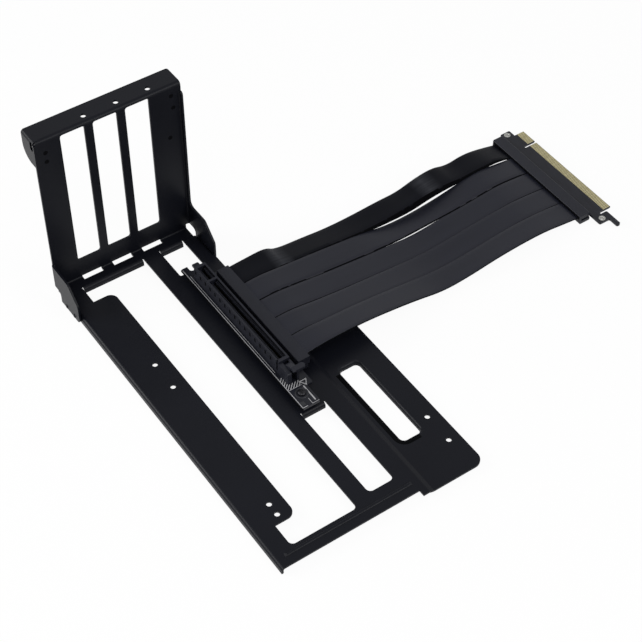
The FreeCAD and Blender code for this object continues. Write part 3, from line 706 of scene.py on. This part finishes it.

# %% [markdown]
# The plug now has its fingers and eyelets.

# %% [markdown]
# Rivets close the gussets on the base's folded edges. A set rivet has a low dome, so its profile
# runs from the shank's end round the dome to the axis, and the spin closes it at both poles.

# %% Rivets
RIVET_PLACES = (-100.05, -91.05)
RIVET_HEIGHT = 1.5
RIVET_FACES = ((-64.85, -1), (28.75, 1))
RIVET_PROFILE = ((0, -2.45), (0.65, -2.45), (0.65, 0), (1.3, 0), (1.28, 0.15), (1.1, 0.32),
                 (0.7, 0.45), (0.3, 0.495), (0, 0.5))

bm = bmesh.new()
for y, outward in RIVET_FACES:
    for x in RIVET_PLACES:
        turned(bm, RIVET_PROFILE, mm(x, y, RIVET_HEIGHT), Vector((0, outward, 0)))
close_up(bm)
rivets = add_piece("rivet_domes", bm, powder_coat)
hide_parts("gusset_rivets")

# %% [markdown]
# The press leaves small round marks along the upright's two sides. They are shallow craters with a raised
# lip, a fraction of a millimetre high. They show as dark spots, so the dull black paints shade into them.

# %% Pressed marks
UPRIGHT_FACE = -113.55
MARK_PLACES = ((-57.35, 108.0), (-57.35, 101.6), (22.25, 110.2), (23.15, 101.4), (19.65, 80.4))
MARK_PROFILE = ((0, -0.02), (1.45, -0.02), (1.35, 0.06), (1.1, 0.16), (0.85, 0.14), (0.55, 0.03),
                (0, 0.01))

bm = bmesh.new()
for y, z in MARK_PLACES:
    turned(bm, MARK_PROFILE, mm(UPRIGHT_FACE, y, z), Vector((1, 0, 0)))
close_up(bm)
# The dull black paints shade into the craters.
add_piece("pressed_marks", bm, painted_shade_black)

# %% [markdown]
# The right-hand window's edge is rolled down. In the photograph the roll is far darker than the plate on the
# two sides that turn away from the light, so a very thin dull black skin lies over it there: painted shade.
# Its section is a short line with a quarter circle. It is extruded along one side, spun round the
# corner and extruded again along the end.

# %% Painted shade on the rolled edge
ROLL_WALL = 37.15
ROLL_BACK = 33.85
ROLL_CORNER = (88.85, 40.15)
ROLL_STOP = 47.35
ROLL_R = 2.2
ROLL_STEPS = 6
ROLL_FLAT = 1.6
ROLL_DROP = 0.8
PLATE_TOP = 3.4
SKIN = 0.03

section = [(-SKIN, PLATE_TOP - ROLL_R - ROLL_DROP)]
reach = ROLL_R + SKIN
for index in range(ROLL_STEPS + 1):
    angle = math.pi / 2 * (1 - index / ROLL_STEPS)
    section.append((ROLL_R - reach * math.sin(angle), PLATE_TOP - ROLL_R + reach * math.cos(angle)))
section.append((ROLL_R + ROLL_FLAT, PLATE_TOP + SKIN))

bm = bmesh.new()
verts = [bm.verts.new(mm(ROLL_BACK, ROLL_WALL - out, z)) for out, z in section]
line = [bm.edges.new(pair) for pair in zip(verts, verts[1:])]
points, line = drawn_out(bm, line, mm(ROLL_CORNER[0] - ROLL_BACK, 0, 0))
corner = bmesh.ops.spin(bm, geom=points + line, cent=mm(*ROLL_CORNER, 0), axis=(0, 0, 1), dvec=(0, 0, 0),
                        angle=math.pi / 2, steps=ROLL_STEPS, use_duplicate=False)["geom_last"]
drawn_out(bm, edges_of(corner), mm(0, ROLL_STOP - ROLL_CORNER[1], 0))
close_up(bm)
if sum(face.normal.z for face in bm.faces) < 0:
    bmesh.ops.reverse_faces(bm, faces=bm.faces)
for face in bm.faces:
    face.smooth = True
bmesh.ops.solidify(bm, geom=bm.faces[:], thickness=SKIN * MM)
# A thin dull black sheet that paints shade on the two sides of the roll.
add_piece("rolled_edge_painted_shade", bm, painted_shade_black)

# %% [markdown]
# A pan-head screw has a cross recess. A grid of five by five squares gives the cross: its middle
# squares are extruded down. The grid's rim has twenty edges, and so has a circle of twenty
# segments, so the two bridge cleanly. From the circle on, each extruded ring is scaled and lowered
# to make the dome, the rim and the shank. The head's rings are given as shares of its radius and
# its height, so that one function makes every size.

# %% Pan-head screw
RECESS_CELLS = 5
RECESS_HALF = 0.55
RECESS_DEPTH = 0.6
CROSS_REACH = 1.5
HEAD_SEGMENTS = 4 * RECESS_CELLS
CROWN_R = 0.8
CROWN_DROP = 0.1
HEAD_RINGS = ((0.95, 0.3), (1.0, 0.55), (1.0, 1.0))


def pan_screw(sizes):
    """A screw on the z axis, its head standing on z = 0. Sizes: head radius, height, shank radius, length."""
    head_r, head_height, shank_r, shank_length = (size * MM for size in sizes)
    bm = bmesh.new()
    half = head_r * RECESS_HALF
    cell = half * 2 / RECESS_CELLS
    bmesh.ops.create_grid(bm, x_segments=RECESS_CELLS, y_segments=RECESS_CELLS, size=half)
    rim = [edge for edge in bm.edges if edge.is_boundary]
    cross = []
    for face in bm.faces:
        middle = face.calc_center_median()
        near, far = sorted((abs(middle.x), abs(middle.y)))
        if near < cell / 2 and far < cell * CROSS_REACH:
            cross.append(face)
    sunk = bmesh.ops.extrude_face_region(bm, geom=cross)["geom"]
    bmesh.ops.translate(bm, verts=verts_of(sunk), vec=(0, 0, -head_height * RECESS_DEPTH))
    size = head_r * CROWN_R
    level = -head_height * CROWN_DROP
    circle = bmesh.ops.create_circle(bm, cap_ends=False, radius=size, segments=HEAD_SEGMENTS)["verts"]
    bmesh.ops.translate(bm, verts=circle, vec=(0, 0, level))
    ring = [edge for edge in bm.edges if edge.is_wire]
    bmesh.ops.bridge_loops(bm, edges=rim + ring)
    rings = [(head_r * radius, -head_height * drop) for radius, drop in HEAD_RINGS]
    rings += [(shank_r, -head_height), (shank_r, -head_height - shank_length)]
    for radius, height in rings:
        points, ring = drawn_out(bm, ring, (0, 0, height - level))
        bmesh.ops.scale(bm, verts=points, vec=(radius / size, radius / size, 1))
        size = radius
        level = height
    bmesh.ops.edgeloop_fill(bm, edges=ring)
    bmesh.ops.translate(bm, verts=bm.verts, vec=(0, 0, head_height))
    bmesh.ops.recalc_face_normals(bm, faces=bm.faces)
    return bm


print("rings of a screw's head", len(HEAD_RINGS) + 1)

# %% Screws under the base
SPACERS = ((37.45, 7.75), (-49.55, 18.55), (12.45, 18.55))
UNDER_BASE = 3.4
UNDER_SCREW = (2.4, 1.3, 1.3, 4.8)

bm = pan_screw(UNDER_SCREW)
bmesh.ops.rotate(bm, verts=bm.verts, cent=(0, 0, 0), matrix=Matrix.Rotation(math.pi, 3, "X"))
pattern = bm.verts[:] + bm.edges[:] + bm.faces[:]
for x, y in SPACERS[1:]:
    copy = bmesh.ops.duplicate(bm, geom=pattern)["geom"]
    bmesh.ops.translate(bm, verts=verts_of(copy), vec=mm(x, y, UNDER_BASE))
bmesh.ops.translate(bm, verts=verts_of(pattern), vec=mm(*SPACERS[0], UNDER_BASE))
under_screws = add_piece("under_screws", bm, zinc)
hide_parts("board_screws")

# %% Screw on the board
BOARD_TOP = 9.8
TOP_SCREW = (2.3, 1.4, 1.2, 1.4)
TOP_SCREW_TURN = 25

bm = pan_screw(TOP_SCREW)
spin = Matrix.Rotation(math.radians(TOP_SCREW_TURN), 3, "Z")
bmesh.ops.rotate(bm, verts=bm.verts, cent=(0, 0, 0), matrix=spin)
bmesh.ops.translate(bm, verts=bm.verts, vec=mm(*SPACERS[0], BOARD_TOP))
add_piece("board_top_screw", bm, black_steel)

# %% [markdown]
# The board's front end carries a masked ring round its screw, a masked pad and some pale print: a
# border along the edge, a striped field beside the latch, a small triangle and two corner lines.
# They are thin bars on the board's top. The stripes are longer bars at forty-five degrees, which
# are then cut off at the field's four sides with the bisect operator.

# %% Masked ring and pad
RING_PROFILE = ((3.1, 0.0), (3.9, 0.0), (3.85, 0.05), (3.15, 0.05))
PAD_LOW = (42.7, 2.9)
PAD_HIGH = (45.6, 5.2)
PAD_THICK = 0.06

bm = bmesh.new()
turned(bm, RING_PROFILE, mm(*SPACERS[0], BOARD_TOP), Vector((0, 0, 1)))
bar(bm, mm(*PAD_LOW, BOARD_TOP), mm(*PAD_HIGH, BOARD_TOP + PAD_THICK))
close_up(bm)
add_piece("board_pads", bm, masked_copper)

# %% Printed lines
PRINT_THICK = 0.03
PRINT_BARS = (
    (-79.5, 46.9, 2.1, 2.5), (46.5, 46.9, 2.5, 5.6), (-73.0, 17.0, 3.5, 3.75),
    (32.1, 32.4, 2.9, 11.2), (33.6, 45.5, 11.1, 11.9), (42.4, 46.9, 8.6, 8.9), (46.6, 46.9, 8.9, 13.0),
)

printed = bmesh.new()
for x0, x1, y0, y1 in PRINT_BARS:
    bar(printed, mm(x0, y0, BOARD_TOP), mm(x1, y1, BOARD_TOP + PRINT_THICK))
print("printed lines", len(PRINT_BARS))

# %% Printed stripes
STRIPE_PITCH = 1.35
STRIPE_WIDTH = 0.5
STRIPE_LENGTH = 18.0
STRIPE_COUNT = 14
STRIPE_CENTRE = (27.6, 6.6)
STRIPE_FIELDS = ((22.0, 32.0, 2.6, 4.7), (28.5, 32.0, 4.7, 11.4))


def cut_to_field(bm, low, high):
    """Keeps what lies inside an upright box and closes the cuts."""
    planes = ((low, (-1, 0, 0)), (low, (0, -1, 0)), (high, (1, 0, 0)), (high, (0, 1, 0)))
    for place, normal in planes:
        geom = bm.verts[:] + bm.edges[:] + bm.faces[:]
        cut = bmesh.ops.bisect_plane(bm, geom=geom, dist=MERGE, plane_co=place, plane_no=normal,
                                     clear_outer=True)["geom_cut"]
        bmesh.ops.edgenet_fill(bm, edges=edges_of(cut))


slant = Matrix.Rotation(math.pi / 4, 3, "Z")
for x0, x1, y0, y1 in STRIPE_FIELDS:
    bm = bmesh.new()
    for index in range(STRIPE_COUNT):
        offset = STRIPE_PITCH * (index - STRIPE_COUNT / 2)
        verts = bar(bm, mm(offset - STRIPE_WIDTH / 2, -STRIPE_LENGTH / 2, BOARD_TOP),
                    mm(offset + STRIPE_WIDTH / 2, STRIPE_LENGTH / 2, BOARD_TOP + PRINT_THICK))
        bmesh.ops.rotate(bm, verts=verts, cent=(0, 0, 0), matrix=slant)
        bmesh.ops.translate(bm, verts=verts, vec=mm(*STRIPE_CENTRE, 0))
    cut_to_field(bm, mm(x0, y0, 0), mm(x1, y1, 0))
    stripes = bpy.data.meshes.new("stripes")
    bm.to_mesh(stripes)
    bm.free()
    printed.from_mesh(stripes)
    bpy.data.meshes.remove(stripes)
print("printed faces", len(printed.faces))

# %% Printed triangle
TRIANGLE_CENTRE = (31.2, 13.4)
TRIANGLE_R = 3.0
TRIANGLE_LINE = 0.55
TRIANGLE_TURN = -90

triangle = bmesh.ops.create_circle(printed, cap_ends=True, radius=TRIANGLE_R * MM, segments=3)["verts"]
face = triangle[0].link_faces[0]
outline = bmesh.ops.inset_region(printed, faces=[face], thickness=TRIANGLE_LINE * MM, use_boundary=True,
                                 use_even_offset=True)["faces"]
bmesh.ops.delete(printed, geom=[face], context="FACES")
raised = verts_of(bmesh.ops.extrude_face_region(printed, geom=outline)["geom"])
bmesh.ops.translate(printed, verts=raised, vec=(0, 0, PRINT_THICK * MM))
whole = list({vert for item in raised for edge in item.link_edges for vert in edge.verts})
spin = Matrix.Rotation(math.radians(TRIANGLE_TURN), 3, "Z")
bmesh.ops.rotate(printed, verts=whole, cent=(0, 0, 0), matrix=spin)
bmesh.ops.translate(printed, verts=whole, vec=mm(*TRIANGLE_CENTRE, BOARD_TOP))
bmesh.ops.recalc_face_normals(printed, faces=printed.faces)
add_piece("board_print", printed, print_ink)

# %% [markdown]
# Looking into the slot's mouth, one sees a comb: thin ribs stand between the contacts on both sides of the
# channel, and the chambers behind them lie in deep shade. A dull black layer on the two ledges and on the far
# wall paints that shade, and the ribs are short bars at the contacts' pitch, half a pitch on. The plug's
# cover has a mouth too, where the strips go in, and the same painted shade darkens it.

# %% Painted shade in the slot's mouth
SLOT_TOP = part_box("slot_housing")[1].z / MM
SLOT_MIDDLE = 8.5
MOUTHS = ((-68.05, -56.4), (-54.9, 16.75))
MOUTH_HALF = 2.65
MOUTH_RIM = 0.3
CHANNEL_HALF = 0.95
LEDGE = 17.5
SHADE_LAYER = 0.05


def beside_channel(side, far):
    """The lowest and highest y of a bar from the channel to a distance from the slot's middle."""
    return sorted((SLOT_MIDDLE + side * CHANNEL_HALF, SLOT_MIDDLE + side * far))


# Dull black bars on the ledges and the far wall: painted shade in the chambers.
bm = bmesh.new()
wall = SLOT_MIDDLE + MOUTH_HALF
for x0, x1 in MOUTHS:
    for side in (-1, 1):
        y0, y1 = beside_channel(side, MOUTH_HALF)
        bar(bm, mm(x0, y0, LEDGE), mm(x1, y1, LEDGE + SHADE_LAYER))
    bar(bm, mm(x0, wall - SHADE_LAYER, LEDGE + SHADE_LAYER), mm(x1, wall, SLOT_TOP - MOUTH_RIM))
add_piece("mouth_painted_shade", bm, painted_shade_black)

# %% Ribs of the slot's mouth
CONTACT_GROUPS = ((-67.225, 11), (-54.075, 71))
CONTACT_PITCH = 1.0
RIB_HALF = 0.18
RIB_TOP = 18.2

bm = bmesh.new()
for first, count in CONTACT_GROUPS:
    for index in range(count - 1):
        x = first + CONTACT_PITCH * (index + 0.5)
        for side in (-1, 1):
            y0, y1 = beside_channel(side, MOUTH_HALF - SHADE_LAYER)
            bar(bm, mm(x - RIB_HALF, y0, LEDGE + SHADE_LAYER), mm(x + RIB_HALF, y1, RIB_TOP))
add_piece("mouth_ribs", bm, moulded)

# %% Painted shade in the mouth of the plug's cover
COVER_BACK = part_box("plug_cover_top")[0].y / MM
COVER_LEFT = -68.2
COVER_RIGHT = 15.6
COVER_MOUTH_LOW = 3.2
COVER_MOUTH_HIGH = 5.5

# A dull black bar on the cover's back face, where the strips go in: painted shade.
bm = bmesh.new()
bar(bm, mm(COVER_LEFT, COVER_BACK - SHADE_LAYER, COVER_MOUTH_LOW), mm(COVER_RIGHT, COVER_BACK, COVER_MOUTH_HIGH))
add_piece("cover_mouth_painted_shade", bm, painted_shade_black)

# %% [markdown]
# The slot's long side has a row of small pockets, which lie in shade, and the riser board's long near edge
# lies in deep shade too. Both get thin dull black bars that lie against the solids: painted shade.

# %% Painted shade in the pockets
POCKET_FIRST = -68.95
POCKET_PITCH = 5.27
POCKET_COUNT = 16
POCKET_SIZE = Vector((1.5, 0.64, 3.0))
POCKET_LOW = (4.73, 14.6)

# A dull black bar at the bottom of each pocket paints its shade.
bm = bmesh.new()
for index in range(POCKET_COUNT):
    low = Vector((POCKET_FIRST + POCKET_PITCH * index, *POCKET_LOW))
    bar(bm, low * MM, (low + POCKET_SIZE) * MM)
add_piece("pocket_painted_shade", bm, painted_shade_black)

# %% Painted shade on the board's edge
EDGE_PROUD = 0.03

# A dull black bar along the board's near edge paints its shade.
bm = bmesh.new()
low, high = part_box("riser_board")
bar(bm, Vector((low.x, low.y - EDGE_PROUD * MM, low.z)), Vector((high.x, low.y, high.z)))
add_piece("board_edge_painted_shade", bm, painted_shade_black)

# %% [markdown]
# Under the board, each slot contact ends in a soldered tail. The tails stand in four staggered
# rows. There are more than a hundred and sixty, so each is only a six-sided cone.

# %% Solder tails
TAIL_ROWS = (1.3, 3.0)
TAIL_LENGTH = 1.3
TAIL_TIP = 0.2
TAIL_ROOT = 0.5
TAIL_SIDES = 6
BOARD_UNDER = 8.2

bm = bmesh.new()
for first, count in CONTACT_GROUPS:
    for index in range(count):
        x = first + CONTACT_PITCH * index
        for side in (-1, 1):
            y = SLOT_MIDDLE + side * TAIL_ROWS[index % 2]
            tail = bmesh.ops.create_cone(bm, cap_ends=True, segments=TAIL_SIDES, radius1=TAIL_TIP * MM,
                                         radius2=TAIL_ROOT * MM, depth=TAIL_LENGTH * MM)["verts"]
            bmesh.ops.translate(bm, verts=tail, vec=mm(x, y, BOARD_UNDER - TAIL_LENGTH / 2))
bmesh.ops.recalc_face_normals(bm, faces=bm.faces)
add_piece("solder_tails", bm, tin)
